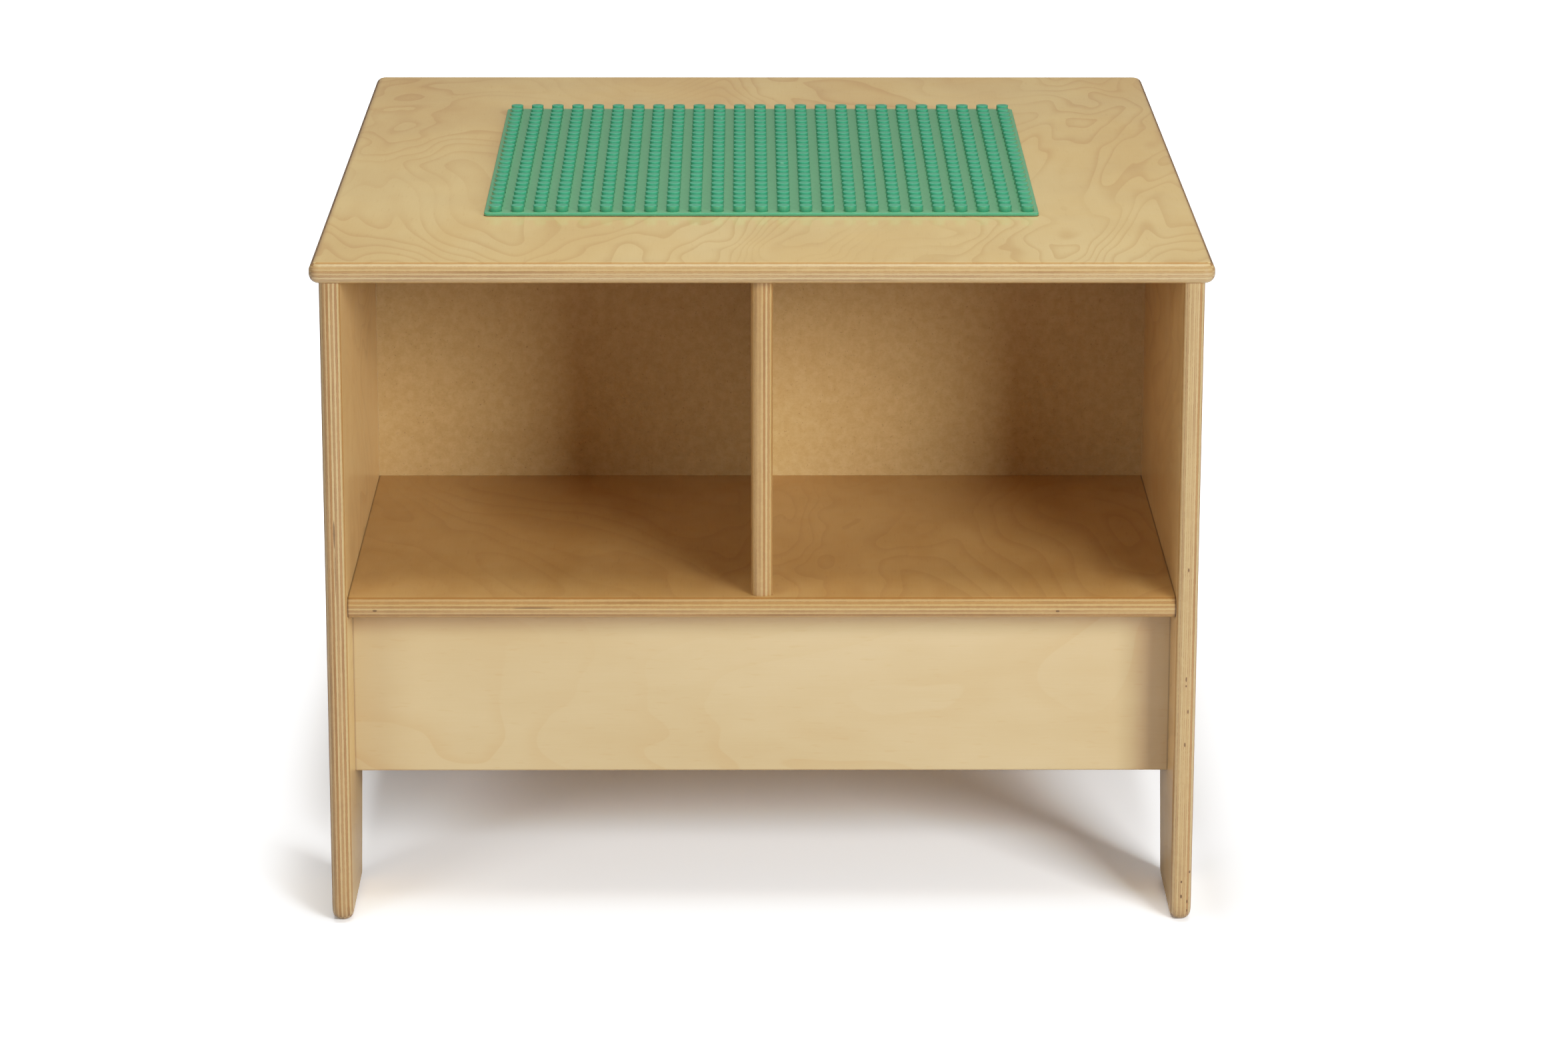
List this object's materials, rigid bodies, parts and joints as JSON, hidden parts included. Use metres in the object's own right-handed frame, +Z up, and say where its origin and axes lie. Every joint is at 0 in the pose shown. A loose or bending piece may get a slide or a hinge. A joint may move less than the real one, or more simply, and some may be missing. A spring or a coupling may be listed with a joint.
{
  "type": "building block table",
  "caption": "Low birch plywood play table with a studded building plate on top and open cubbies with a divider, shelf and apron on both long faces.",
  "frame": {"origin": "on the floor, under the middle of the table", "axes": "+Z up, +X to the right as seen from the pictured front, the pictured front faces -Y"},
  "size_m": [0.629, 0.714, 0.492],
  "materials": {
    "birch_ply_top": "clear lacquered birch plywood, satin to gloss",
    "birch_ply_panel": "clear lacquered birch plywood, satin",
    "birch_ply_shelf": "clear lacquered birch plywood, satin, warmer veneer",
    "birch_ply_apron": "clear lacquered birch plywood, satin, pale veneer",
    "fibreboard": "brown fibreboard, smooth face, fine flecks",
    "green_plastic": "moulded plastic, semi-gloss",
    "adhesive_foam": "double-sided adhesive strip, matt",
    "hardwood": "sanded hardwood cleat",
    "beech_dowel": "bare beech dowel",
    "black_steel": "dark oxide bolt heads",
    "zinc_steel": "zinc plated nuts and screws"
  },
  "bodies": {
    "root": {"top_panel": "birch_ply_top", "building_plate": "green_plastic", "plate_adhesive": "adhesive_foam", "side_panel_left": "birch_ply_panel", "side_panel_right": "birch_ply_panel", "shelf": "birch_ply_shelf", "centre_panel": "fibreboard", "divider_front": "birch_ply_panel", "divider_rear": "birch_ply_panel", "apron_front": "birch_ply_apron", "apron_rear": "birch_ply_apron", "cleat_front_left": "hardwood", "cleat_front_right": "hardwood", "cleat_rear_left": "hardwood", "cleat_rear_right": "hardwood", "shelf_dowels": "beech_dowel", "apron_dowels": "beech_dowel", "divider_dowels": "beech_dowel", "connector_bolts": "black_steel", "cross_nuts": "zinc_steel", "cleat_side_screws": "zinc_steel", "cleat_top_screws": "zinc_steel"}
  },
  "joints": []
}
